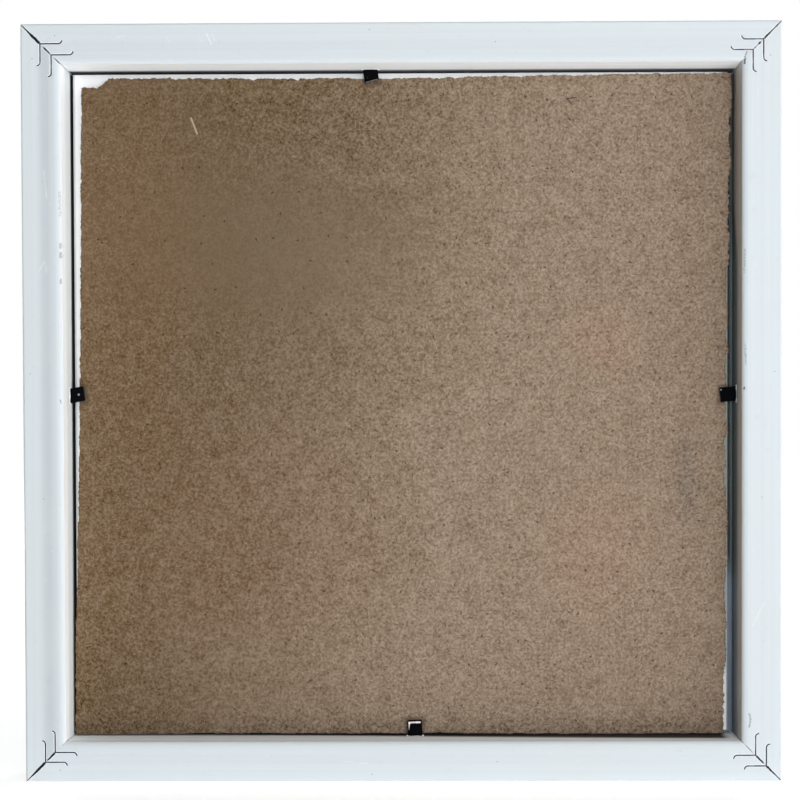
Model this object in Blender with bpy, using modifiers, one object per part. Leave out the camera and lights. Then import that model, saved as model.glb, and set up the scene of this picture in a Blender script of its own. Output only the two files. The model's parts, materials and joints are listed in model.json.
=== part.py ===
"""A back-loading square photo frame, standing upright with its front towards -Y.

Four lengths of white plastic moulding are mitred and joined at each corner by two V-nails. The glazing,
the print and a hand-cut hardboard back lie in the rabbet, held by four soft steel framer's points, whose
free ends bend up about a line just clear of the rabbet wall. Left and right are as seen from the front.
"""

import math

import bmesh
import bpy

# The frame, in metres
OUTER = 0.254  # outside width and height
DEPTH = 0.020  # front to back
BACK_LAND = 0.0134  # flat back of a rail, from its outer side to the rabbet wall
SIGHT_EDGE = 0.0187  # outer side to the edge of the front lip
LIP_THICKNESS = 0.0058  # front of the moulding to the ledge that the glazing lies on
SHOULDER = 0.0045  # height of the cushion-shaped front above its flat sides
FRONT_POWER = 2.8  # exponent of the superellipse that shapes the front
FRONT_STEPS = 32
OUTER_ROUND = 0.0008  # radius of the back edge on the outer side
INNER_ROUND = 0.0011  # radius of the back edge above the rabbet wall
ROUND_STEPS = 6
MITRE_GAP = 0.0003
GAP = 0.0003  # clearance wherever one piece touches or passes through another

# The V-nails, in metres and degrees
NAIL_THICKNESS = 0.0003
NAIL_HEIGHT = 0.010
NAIL_SUNK = 0.0002  # below the back of the rails
NAIL_LEG = 0.0061  # straight part of a leg
NAIL_CURL_RADIUS = 0.0012
NAIL_CURL_ANGLE = 78.0
CURL_STEPS = 7
# Distance of each nail's point from both outer sides, for the nail nearer the corner and the other
NAIL_SETBACKS = {
    "bottom_left": (0.0052, 0.0088),
    "top_left": (0.0063, 0.0098),
    "top_right": (0.0067, 0.0104),
    "bottom_right": (0.0067, 0.0100),
}

# The sheets in the rabbet, in metres: thicknesses, and gaps from their edges to the rabbet walls
GLAZING_THICKNESS = 0.002
GLAZING_GAPS = {"left": 0.0011, "right": 0.0005, "bottom": 0.0004, "top": 0.0009}
GLAZING_ARRIS = 0.00015
INSERT_THICKNESS = 0.0003
INSERT_GAPS = {"left": 0.0023, "right": 0.0008, "bottom": 0.0012, "top": 0.0004}
BOARD_THICKNESS = 0.0022
# The board was cut by hand and isn't square: (gap to the side wall, gap to the top or bottom wall)
BOARD_CORNER_GAPS = {
    "bottom_right": (0.0004, 0.0006),
    "bottom_left": (0.0042, 0.0007),
    "top_left": (0.0018, 0.0015),
    "top_right": (0.0043, 0.0027),
}
# The piece broken out of the board's top right corner
CHIP_DEPTH = 0.0031
CHIP_FLOOR = 0.0053
CHIP_MOUTH = 0.0092

# The framer's points, in metres and degrees
TAB_WIDTH = 0.0050
TAB_THICKNESS = 0.0005
BEND_FROM_WALL = 0.0010  # rabbet wall to the line that the free end bends about
TIP_ROUND = 0.00012
SHANK_LENGTH = 0.0090  # embedded, to the tip of its point
SHANK_POINT = 0.0028  # length of the sharpened end
# Of each side: turn about Y from the left side, then the tab's place along the rail, its reach from the
# rabbet wall, and how far it was driven in askew. Place is along the bend line's axis.
SIDES = {
    "left": (0, 0.0032, 0.0056, 5.0),
    "top": (90, 0.0105, 0.0045, 8.0),
    "right": (180, -0.0033, 0.0050, 10.0),
    "bottom": (-90, 0.0039, 0.0055, 3.0),
}

# Worked out from these
HALF = OUTER / 2
BACK = DEPTH / 2
FRONT = -DEPTH / 2
OPENING = HALF - BACK_LAND  # centre to rabbet wall
LEDGE = FRONT + LIP_THICKNESS
GLAZING_Y = LEDGE + GAP + GLAZING_THICKNESS / 2
INSERT_Y = GLAZING_Y + GLAZING_THICKNESS / 2 + GAP + INSERT_THICKNESS / 2
BOARD_Y = INSERT_Y + INSERT_THICKNESS / 2 + GAP + BOARD_THICKNESS / 2
TAB_Y = BOARD_Y + BOARD_THICKNESS / 2 + GAP + TAB_THICKNESS / 2
QUARTER_TURNS = {"bottom_left": 0, "top_left": 90, "top_right": 180, "bottom_right": 270}


for old in list(bpy.data.objects):
    bpy.data.objects.remove(old)

parts = bpy.data.collections.new("photo_frame")
cutters = bpy.data.collections.new("cutters")
bpy.context.scene.collection.children.link(parts)
bpy.context.scene.collection.children.link(cutters)
cutters.hide_render = True


def make_material(name, colour, roughness, metallic=0.0, alpha=1.0):
    material = bpy.data.materials.new(name)
    material.use_nodes = True
    shader = material.node_tree.nodes["Principled BSDF"]
    shader.inputs["Base Color"].default_value = (*colour, 1.0)
    shader.inputs["Roughness"].default_value = roughness
    shader.inputs["Metallic"].default_value = metallic
    shader.inputs["Alpha"].default_value = alpha
    return material


WHITE_PLASTIC = make_material("white_plastic", (0.78, 0.83, 0.86), 0.42)
NAIL_STEEL = make_material("nail_steel", (0.16, 0.17, 0.18), 0.40, metallic=1.0)
BLACK_STEEL = make_material("black_steel", (0.012, 0.012, 0.015), 0.32, metallic=0.6)
CLEAR_GLASS = make_material("clear_glass", (0.80, 0.88, 0.90), 0.05, alpha=0.35)
WHITE_PAPER = make_material("white_paper", (0.93, 0.93, 0.93), 0.70)
HARDBOARD = make_material("hardboard", (0.24, 0.18, 0.125), 0.85)


def arc(centre, radius, start, end, steps):
    """Points on a circular arc, from the angle start to the angle end, in degrees."""
    angles = [math.radians(start + (end - start) * i / steps) for i in range(steps + 1)]
    return [(centre[0] + radius * math.cos(a), centre[1] + radius * math.sin(a)) for a in angles]


def flat_curve(name, points, thickness, closed=True):
    """A flat outline in the object's XY plane, thickened along its Z. An open one makes a ribbon."""
    curve = bpy.data.curves.new(name, "CURVE")
    curve.dimensions = "2D"
    curve.fill_mode = "BOTH" if closed else "NONE"
    curve.extrude = thickness / 2
    spline = curve.splines.new("POLY")
    spline.points.add(len(points) - 1)
    for point, (x, y) in zip(spline.points, points):
        point.co = (x, y, 0.0, 1.0)
    spline.use_cyclic_u = closed
    return bpy.data.objects.new(name, curve)


def place(obj, collection, material=None, location=(0, 0, 0), turn=(0, 0, 0), parent=None):
    """Links an object, sets it down and colours it. The turn is in degrees."""
    collection.objects.link(obj)
    obj.parent = parent
    obj.location = location
    obj.rotation_euler = [math.radians(angle) for angle in turn]
    if material:
        obj.data.materials.append(material)
    if collection is cutters:
        obj.hide_render = True
        obj.display_type = "WIRE"
    bpy.context.view_layer.update()
    return obj


def to_mesh(obj):
    """Replaces a curve object by the same shape as a mesh, its caps welded on, in the same place."""
    graph = bpy.context.evaluated_depsgraph_get()
    mesh = bpy.data.meshes.new_from_object(obj.evaluated_get(graph))
    shape = bmesh.new()
    shape.from_mesh(mesh)
    bmesh.ops.remove_doubles(shape, verts=shape.verts, dist=1e-6)
    bmesh.ops.recalc_face_normals(shape, faces=shape.faces)
    shape.to_mesh(mesh)
    shape.free()
    mesh.shade_smooth()
    mesh.set_sharp_from_angle(angle=math.radians(30))
    name, matrix = obj.name, obj.matrix_world.copy()
    collection = obj.users_collection[0]
    bpy.data.objects.remove(obj)
    solid = bpy.data.objects.new(name, mesh)
    solid.matrix_world = matrix
    collection.objects.link(solid)
    if collection is cutters:
        solid.hide_render = True
        solid.display_type = "WIRE"
    bpy.context.view_layer.update()
    return solid


def cut(target, tool, operation="DIFFERENCE"):
    modifier = target.modifiers.new(tool.name, "BOOLEAN")
    modifier.operation = operation
    modifier.solver = "EXACT"
    modifier.object = tool


def rail_profile():
    """Section of the moulding: x inward from the centre of the frame's outer side, y towards the back.

    The front is half a superellipse, from the outer side across to the sight edge. The rest is straight,
    with the two back edges rounded.
    """
    half_width = SIGHT_EDGE / 2
    shoulder_y = FRONT + SHOULDER
    front = []
    for i in range(FRONT_STEPS + 1):
        angle = math.pi * i / FRONT_STEPS
        across = math.copysign(abs(math.cos(angle)) ** (2 / FRONT_POWER), math.cos(angle))
        out = abs(math.sin(angle)) ** (2 / FRONT_POWER)
        front.append((half_width * (1 - across), shoulder_y - SHOULDER * out))
    ledge = [(SIGHT_EDGE, LEDGE), (BACK_LAND, LEDGE)]
    inner = (BACK_LAND - INNER_ROUND, BACK - INNER_ROUND)
    outer = (OUTER_ROUND, BACK - OUTER_ROUND)
    section = front + ledge
    section += arc(inner, INNER_ROUND, 0, 90, ROUND_STEPS)
    section += arc(outer, OUTER_ROUND, 90, 180, ROUND_STEPS)
    return [(x - HALF, y) for x, y in section]


def make_side(name, turn):
    """An empty at the frame's centre. Its X runs inward from the rail, its Y backward, its Z along."""
    empty = bpy.data.objects.new(name + "_side", None)
    return place(empty, parts, location=(0, 0, HALF), turn=(0, turn, 0))


def make_rail(name, turn):
    """A full length of moulding, cut to a trapezium in plan: its ends are the mitres."""
    stock = flat_curve(name + "_rail", rail_profile(), OUTER)
    stock = place(stock, parts, WHITE_PLASTIC, (0, 0, HALF), (0, turn, 0))
    rail = to_mesh(stock)
    end_gap = MITRE_GAP / math.sqrt(2)
    near, far = HALF * 1.05, HALF * 0.7
    plan = [
        (-near, end_gap - near),
        (-far, end_gap - far),
        (-far, far - end_gap),
        (-near, near - end_gap),
    ]
    saw = flat_curve(name + "_mitres", plan, 2 * DEPTH)
    saw = to_mesh(place(saw, cutters, None, (0, 0, HALF), (90, turn, 0)))
    cut(rail, saw, "INTERSECT")
    return rail


def nail_path(setback, extra):
    """Plan of a V-nail: two legs at right angles that run beside the rails, their ends curled outward.

    It starts at the end of the curl beside the frame's bottom side and is mirrored in the mitre. The
    curls are longer by extra.
    """
    angle = NAIL_CURL_ANGLE + math.degrees(extra / NAIL_CURL_RADIUS)
    centre = (setback + NAIL_LEG, setback - NAIL_CURL_RADIUS)
    leg = arc(centre, NAIL_CURL_RADIUS, 90 - angle, 90, CURL_STEPS)
    path = leg + [(setback, setback)] + [(y, x) for x, y in reversed(leg)]
    return [(x - HALF, y - HALF) for x, y in path]


def make_nail(corner, order, setback):
    """A V-nail and the slot that it fills in the two rails of a corner."""
    name = f"v_nail_{corner}_{order}"
    turn = (90, QUARTER_TURNS[corner], 0)
    middle = BACK - NAIL_SUNK - NAIL_HEIGHT / 2
    nail = flat_curve(name, nail_path(setback, 0), NAIL_HEIGHT, closed=False)
    place(nail, parts, NAIL_STEEL, (0, middle, HALF), turn)
    thicken(nail, NAIL_THICKNESS)
    slot_bottom = BACK - NAIL_SUNK - NAIL_HEIGHT - GAP
    slot_height = 2 * (BACK - slot_bottom)
    slot = flat_curve(name + "_slot", nail_path(setback, GAP), slot_height, closed=False)
    place(slot, cutters, None, (0, slot_bottom + slot_height / 2, HALF), turn)
    thicken(slot, NAIL_THICKNESS + 2 * GAP)
    return to_mesh(slot)


def thicken(ribbon, thickness):
    solidify = ribbon.modifiers.new("thickness", "SOLIDIFY")
    solidify.thickness = thickness
    solidify.offset = 0.0
    solidify.use_even_offset = True


def make_sheet(name, thickness, y, gaps, material):
    """A square-cut sheet in the rabbet, from its gaps to the four walls."""
    left, right = gaps["left"] - OPENING, OPENING - gaps["right"]
    bottom, top = gaps["bottom"] - OPENING, OPENING - gaps["top"]
    bpy.ops.mesh.primitive_cube_add(size=1)
    sheet = bpy.context.object
    sheet.name = name
    sheet.data.name = name
    for collection in list(sheet.users_collection):
        collection.objects.unlink(sheet)
    sheet.scale = (right - left, thickness, top - bottom)
    parts.objects.link(sheet)
    bpy.ops.object.transform_apply(location=False, rotation=False, scale=True)
    sheet.location = ((left + right) / 2, y, HALF + (bottom + top) / 2)
    sheet.data.materials.append(material)
    return sheet


def board_outline():
    """The board's corners, anticlockwise from the bottom right, with the piece missing at the top right."""
    corners = {}
    for corner, (side_gap, end_gap) in BOARD_CORNER_GAPS.items():
        end, side = corner.split("_")
        x = (OPENING - side_gap) * (1 if side == "right" else -1)
        z = (OPENING - end_gap) * (1 if end == "top" else -1)
        corners[corner] = (x, z)
    x, z = corners["top_right"]
    chip = [(x - CHIP_MOUTH, z), (x - CHIP_FLOOR, z - CHIP_DEPTH), (x, z - CHIP_DEPTH)]
    square = [corners[corner] for corner in ("bottom_right", "bottom_left", "top_left")]
    return square + chip


def make_board():
    board = flat_curve("backing_board", board_outline(), BOARD_THICKNESS)
    place(board, parts, HARDBOARD, (0, BOARD_Y, HALF), (90, 0, 0))


def shank_outline(grown, front):
    """Plan of the embedded half of a point: x along it from the bend line, y across. It ends sharp."""
    half_width = TAB_WIDTH / 2 + grown
    tip = -BEND_FROM_WALL - SHANK_LENGTH - grown
    shoulder = tip + SHANK_POINT
    square_end = [(front, -half_width), (front, half_width)]
    point = [(shoulder, half_width), (tip, 0), (shoulder, -half_width)]
    return square_end + point


def blade_profile(length):
    """Side view of the free end: round about the bend line, then flat, its punched tip slightly rounded."""
    half = TAB_THICKNESS / 2
    root = arc((0, 0), half, 90, 270, 2 * ROUND_STEPS)
    tip = length - TIP_ROUND
    low = arc((tip, TIP_ROUND - half), TIP_ROUND, -90, 0, 3)
    high = arc((tip, half - TIP_ROUND), TIP_ROUND, 0, 90, 3)
    return root + low + high


def make_tab(name, side, along, reach, askew):
    """A framer's point in two nodes, which meet at its bend line, and the pocket its shank fills.

    The bend empty stands on the bend line. Its X runs along the point, and its Z is the bend's axis.
    """
    bend = bpy.data.objects.new(name + "_bend", None)
    at = (BEND_FROM_WALL - OPENING, TAB_Y, along)
    place(bend, parts, None, at, (0, askew, 0), side)
    blade = flat_curve("tab_blade_" + name, blade_profile(reach - BEND_FROM_WALL), TAB_WIDTH)
    place(blade, parts, BLACK_STEEL, parent=bend)
    shank_front = -TAB_THICKNESS / 2 - GAP
    shank = flat_curve("tab_shank_" + name, shank_outline(0, shank_front), TAB_THICKNESS)
    place(shank, parts, BLACK_STEEL, turn=(90, 0, 0), parent=bend)
    pocket = flat_curve(name + "_pocket", shank_outline(GAP, 0), TAB_THICKNESS + 2 * GAP)
    return to_mesh(place(pocket, cutters, turn=(90, 0, 0), parent=bend))


rails = {}
for side_name, (side_turn, tab_along, tab_reach, tab_askew) in SIDES.items():
    rails[side_name] = make_rail(side_name, side_turn)
    side_empty = make_side(side_name, side_turn)
    cut(rails[side_name], make_tab(side_name, side_empty, tab_along, tab_reach, tab_askew))

for corner_name, setbacks in NAIL_SETBACKS.items():
    for nail_order, nail_setback in zip(("outer", "inner"), setbacks):
        slot_tool = make_nail(corner_name, nail_order, nail_setback)
        for side_name in corner_name.split("_"):
            cut(rails[side_name], slot_tool)

glazing = make_sheet("glazing_sheet", GLAZING_THICKNESS, GLAZING_Y, GLAZING_GAPS, CLEAR_GLASS)
arris = glazing.modifiers.new("arris", "BEVEL")
arris.width = GLAZING_ARRIS
arris.segments = 1
make_sheet("print_insert", INSERT_THICKNESS, INSERT_Y, INSERT_GAPS, WHITE_PAPER)
make_board()
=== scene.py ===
"""The looks of a back-loading square photo frame, seen from behind.

All lengths are metres in the frame's own axes: +Z up, the front towards -Y, the loading side towards +Y.
Left and right are as seen from the front.
"""

import json
import math

import bmesh
import bpy
import numpy as np
from mathutils import Matrix, Vector


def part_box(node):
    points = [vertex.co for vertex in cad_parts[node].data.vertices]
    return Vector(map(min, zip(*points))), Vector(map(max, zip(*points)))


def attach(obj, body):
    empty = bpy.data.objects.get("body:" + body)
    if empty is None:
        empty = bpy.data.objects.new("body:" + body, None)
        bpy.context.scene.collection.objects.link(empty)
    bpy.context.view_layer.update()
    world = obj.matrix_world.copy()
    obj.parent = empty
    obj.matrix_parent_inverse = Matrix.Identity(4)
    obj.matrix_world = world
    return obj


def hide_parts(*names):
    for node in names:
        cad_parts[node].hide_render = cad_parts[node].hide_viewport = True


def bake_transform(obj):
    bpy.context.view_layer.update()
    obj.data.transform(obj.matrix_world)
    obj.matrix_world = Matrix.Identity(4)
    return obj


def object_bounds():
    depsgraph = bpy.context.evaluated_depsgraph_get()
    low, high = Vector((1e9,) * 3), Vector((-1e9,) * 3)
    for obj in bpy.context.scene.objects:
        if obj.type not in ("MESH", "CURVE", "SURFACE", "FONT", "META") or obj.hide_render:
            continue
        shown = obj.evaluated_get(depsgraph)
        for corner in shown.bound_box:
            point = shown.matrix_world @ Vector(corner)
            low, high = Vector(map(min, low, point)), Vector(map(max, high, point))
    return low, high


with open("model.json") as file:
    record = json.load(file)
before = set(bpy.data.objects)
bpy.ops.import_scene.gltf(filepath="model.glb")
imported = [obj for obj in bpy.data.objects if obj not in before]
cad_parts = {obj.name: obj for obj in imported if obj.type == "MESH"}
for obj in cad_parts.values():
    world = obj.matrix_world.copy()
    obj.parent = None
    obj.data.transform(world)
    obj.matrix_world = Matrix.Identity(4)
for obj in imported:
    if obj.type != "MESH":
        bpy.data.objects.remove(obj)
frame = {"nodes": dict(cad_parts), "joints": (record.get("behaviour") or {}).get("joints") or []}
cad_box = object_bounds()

# The moulding. Four lengths of white plastic, extruded, sawn at 45 degrees and pressed together. The die
# leaves faint lines and a low ridge along them, the saw a joint that is open in places, and handling
# scratches, specks and a little dirt.
MM = 0.001
LOW, HIGH = cad_box
HALF = (HIGH.x - LOW.x) / 2
MIDDLE_Z = (HIGH.z + LOW.z) / 2
BACK = HIGH.y
FRONT = LOW.y
LAND = 13.4 * MM  # outer side to the rabbet wall
LEDGE = -4.2 * MM  # the lip's inner face, which the glazing lies on
RIDGE_START = 6.6 * MM  # the back rises a little from here
RIDGE_STOP = 10.4 * MM
RIDGE_HEIGHT = 0.13 * MM
PLASTIC = (0.674, 0.735, 0.770)
# The colour of the streaks, also used for painted shade on the back's outer edge
STREAK_AND_SHADE = (0.555, 0.612, 0.650)
PLASTIC_AGED = (0.665, 0.700, 0.695)
PLASTIC_SCUFF = (0.86, 0.88, 0.895)
GRIME = (0.27, 0.27, 0.265)
# Soot for the rails' dark specks, and the painted shade at the foot of the rabbet
SOOT_AND_SHADE = (0.014, 0.015, 0.019)
GLINT = (0.25, 0.29, 0.34)
CRACK = (0.009, 0.011, 0.016)
EDGE_ROLL = 11.3 * MM  # the back falls away from here to its inner edge
# Of each corner: its side and end, both V-nails' points from the outer sides in millimetres, and how open
# the mitre stands from 0 to 1, at distances in millimetres from the outer sides
CORNERS = {
    "top_right": (1, 1, (6.7, 10.4), (
        (0.0, 0.38), (1.5, 0.55), (3.0, 0.78), (4.2, 1.0), (6.5, 1.0), (7.4, 0.10), (8.2, 0.72),
        (10.2, 0.55), (10.9, 0.12), (11.8, 0.48), (13.0, 0.55), (13.4, 0.05),
    )),
    "top_left": (-1, 1, (6.3, 9.8), (
        (0.0, 0.35), (2.0, 0.60), (3.0, 0.50), (4.2, 0.70), (6.0, 0.85), (6.9, 0.10), (7.6, 0.80),
        (8.3, 0.25), (9.2, 0.50), (10.4, 0.02), (12.8, 0.02), (13.4, 0.20),
    )),
    "bottom_right": (1, -1, (6.7, 10.0), (
        (0.0, 0.34), (1.8, 0.55), (3.4, 0.90), (5.0, 1.0), (6.5, 1.0), (7.4, 0.62), (8.4, 0.78),
        (9.8, 0.95), (10.4, 0.06), (11.8, 0.05), (12.6, 0.25), (13.4, 0.30),
    )),
    "bottom_left": (-1, -1, (5.2, 8.8), (
        (0.0, 0.45), (2.0, 0.60), (3.8, 0.80), (5.0, 0.95), (5.7, 0.12), (6.4, 0.75), (7.4, 0.70),
        (8.6, 0.85), (9.5, 0.08), (10.2, 0.34), (12.6, 0.30), (13.4, 0.40),
    )),
}


class Socket:
    """One output of a shader node. Arithmetic on it adds Math nodes, so that a mask reads as a formula."""

    def __init__(self, nodes, output):
        self.nodes = nodes
        self.output = output

    def other(self, name):
        """Another output of the same node."""
        return Socket(self.nodes, self.output.node.outputs[name])

    def maths(self, operation, *values):
        return self.nodes.node("ShaderNodeMath", {"operation": operation}, dict(enumerate(values)))

    def __add__(self, other):
        return self.maths("ADD", self, other)

    def __sub__(self, other):
        return self.maths("SUBTRACT", self, other)

    def __rsub__(self, other):
        return self.maths("SUBTRACT", other, self)

    def __mul__(self, other):
        return self.maths("MULTIPLY", self, other)

    def __truediv__(self, other):
        return self.maths("DIVIDE", self, other)

    def __pow__(self, exponent):
        return self.maths("POWER", self, exponent)

    def __abs__(self):
        return self.maths("ABSOLUTE", self)

    __radd__ = __add__
    __rmul__ = __mul__

    def least(self, other):
        return self.maths("MINIMUM", self, other)

    def most(self, other):
        return self.maths("MAXIMUM", self, other)

    def rise(self, low, high):
        """0 up to low and 1 from high on, smooth between. With low above high it falls instead."""
        sockets = {"Value": self, "From Min": low, "From Max": high}
        return self.nodes.node("ShaderNodeMapRange", {"interpolation_type": "SMOOTHSTEP"}, sockets)

    def rise_mm(self, low, high):
        """The same for a length, with both ends in millimetres."""
        return self.rise(low * MM, high * MM)


class Nodes:
    """A node tree in the making."""

    def __init__(self, tree):
        self.tree = tree

    def node(self, kind, settings=None, sockets=None, output=0):
        """Adds a node: its settings first, then its sockets' values or links. Returns one output, or None
        where output is None. The setting stops is a ramp's list of (place, grey)."""
        node = self.tree.nodes.new(kind)
        for setting, value in (settings or {}).items():
            if setting == "stops":
                self.set_stops(node.color_ramp.elements, value)
            else:
                setattr(node, setting, value)
        for socket, value in (sockets or {}).items():
            self.feed(node.inputs[socket], value)
        return Socket(self, node.outputs[output]) if output is not None else None

    def set_stops(self, elements, stops):
        while len(elements) < len(stops):
            elements.new(1.0)
        for element, (place, grey) in zip(elements, stops):
            element.position = place
            element.color = (grey, grey, grey, 1.0)

    def feed(self, socket, value):
        if isinstance(value, Socket):
            self.tree.links.new(value.output, socket)
        elif isinstance(value, tuple) and socket.type == "RGBA":
            socket.default_value = (*value, 1.0)
        else:
            socket.default_value = value


class Finish(Nodes):
    """A material in the making. Its x, y and z are the place on the object, with z from the middle, and
    specular is how much the surface mirrors."""

    def __init__(self, name, specular):
        self.material = bpy.data.materials.new(name)
        self.material.use_nodes = True
        super().__init__(self.material.node_tree)
        self.shader = self.tree.nodes["Principled BSDF"]
        self.shader.inputs["Specular IOR Level"].default_value = specular
        self.x = self.parts(self.node("ShaderNodeTexCoord", output="Object"))
        self.y = self.x.other("Y")
        self.z = self.x.other("Z") - MIDDLE_Z
        self.place = self.vector(self.x, self.y, self.z)

    def parts(self, vector):
        """The X of a vector, and Y and Z as its other outputs."""
        return self.node("ShaderNodeSeparateXYZ", None, {0: vector})

    def vector(self, x=0.0, y=0.0, z=0.0):
        return self.node("ShaderNodeCombineXYZ", None, {0: x, 1: y, 2: z})

    def noise(self, size, detail=3.0, roughness=0.6, place=None):
        """Smooth noise from 0 to 1, with features about size across, in millimetres."""
        sockets = {"Vector": place or self.place, "Scale": 1 / (size * MM)}
        sockets.update({"Detail": detail, "Roughness": roughness})
        return self.node("ShaderNodeTexNoise", None, sockets, "Fac")

    def mix(self, share, first, second):
        """The first colour where share is 0 and the second where it is 1."""
        return self.node("ShaderNodeMix", {"data_type": "RGBA"}, {0: share, 6: first, 7: second}, 2)

    def layered(self, colour, *layers):
        """A colour under thin layers, the lowest first. Each is how much it covers, and its own colour."""
        for share, layer in layers:
            colour = self.mix(share, colour, layer)
        return colour

    def stored(self, name, output="Fac"):
        """What store() has put into the piece's points under that name."""
        return self.node("ShaderNodeAttribute", {"attribute_name": name}, output=output)

    def inset(self, low, high):
        """Distance in from the nearest side of a flat piece whose box runs from low to high."""
        down, up = self.z - (low.z - MIDDLE_Z), (high.z - MIDDLE_Z) - self.z
        return (self.x - low.x).least(high.x - self.x).least(down.least(up))

    def stroke(self, start, end, width, ragged=0.0):
        """A line drawn from start to end, both (x, z) in millimetres, its edge moved by ragged: 1 on it.

        The nearest place on the line is a + u * clamp((p - a).u, 0, length), with a the start, u the
        line's direction and p the place on the object.
        """
        start, end = Vector(start) * MM, Vector(end) * MM
        step = (end - start).normalized()
        x, z = self.x - start.x, self.z + (MIDDLE_Z - start.y)
        along = (x * step.x + z * step.y).most(0.0).least((end - start).length)
        beside = ((x - along * step.x) ** 2 + (z - along * step.y) ** 2) ** 0.5 + ragged
        return beside.rise(width * 0.62, width * 0.38)

    def hairs(self, across, up, cell, length, width, share, seed):
        """Short straight hairs lying every way, sizes in millimetres: 1 on a hair and 0 beside it.

        The plane is split into cells about cell wide. Each has a random turn t and, with the chance
        share, a hair through its seed point: |u| < length / 2 and |v| < width / 2, where (u, v) is the
        offset from the seed point turned by t.
        """
        place = self.vector(across / (cell * MM) + seed, up / (cell * MM) + 2 * seed)
        cells = {"voronoi_dimensions": "2D", "feature": "F1"}
        seedling = self.node("ShaderNodeTexVoronoi", cells, {"Vector": place, "Scale": 1.0}, "Color")
        chance = self.parts(seedling)
        ends = {0: place, 1: seedling.other("Position")}
        offset = self.node("ShaderNodeVectorMath", {"operation": "SUBTRACT"}, ends)
        turn = {"Vector": offset, "Rotation": self.vector(0.0, 0.0, chance * math.tau)}
        turned = self.node("ShaderNodeVectorRotate", {"rotation_type": "EULER_XYZ"}, turn)
        along = self.parts(turned)
        on_length = abs(along).rise(length / cell / 2, length / cell / 4)
        on_width = abs(along.other("Y")).rise(width / cell / 2, width / cell / 5)
        return on_length * on_width * chance.other("Y").rise(share + 0.02, share - 0.02)

    def surface(self, colour, roughness, relief, depth, **others):
        """Links what varies over the surface. Where relief is 1 it stands out by depth, in metres."""
        raised = {"Strength": 1.0, "Distance": depth, "Height": relief}
        bump = self.node("ShaderNodeBump", None, raised)
        channels = {"Base Color": colour, "Roughness": roughness, "Normal": bump, **others}
        for channel, value in channels.items():
            self.feed(self.shader.inputs[channel], value)
        return self.material


def coat(piece, finish):
    """Gives a piece one finish, in place of any that it has."""
    piece.data.materials.clear()
    piece.data.materials.append(finish)


def mitre_opening(made, corners, along, across_both):
    """How open the nearer mitre stands, from 0 to 1, by the sum of the distances from both outer sides."""
    share = across_both / (2 * LAND)
    stops = [[(place * MM / LAND, opening) for place, opening in CORNERS[corner][3]] for corner in corners]
    low_end, high_end = (made.node("ShaderNodeValToRGB", {"stops": ends}, {0: share}) for ends in stops)
    at_high_end = along.rise_mm(-1, 1)
    return low_end * (1 - at_high_end) + high_end * at_high_end


def foot_shade(made, rail, along, in_rabbet, foot):
    """Painted shade at the foot of the rabbet, beside the board: where it lies, from 0 to 1, and its colour.

    foot says from where to where along the rail the low end's painted shade gives way to the high end's, the
    height that each reaches and how softly it ends, in millimetres, and the colour of each. The left rail has
    a painted pale glint low on it.
    """
    span, low_line, high_line, softness, low_shade, high_shade = foot
    share = along.rise_mm(*span)
    line = share * ((high_line - low_line) * MM) + low_line * MM
    foot_shaded = in_rabbet * (made.y - line).rise_mm(softness, -softness)
    if rail == "bottom_rail":
        foot_shaded = foot_shaded * made.x.rise_mm(-112, -108)  # there is no board above the foot there
    glinting = made.z.rise_mm(-52, -66) if rail == "left_rail" else 0.0
    return foot_shaded, made.mix(glinting, made.mix(share, low_shade, high_shade), GLINT)


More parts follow.
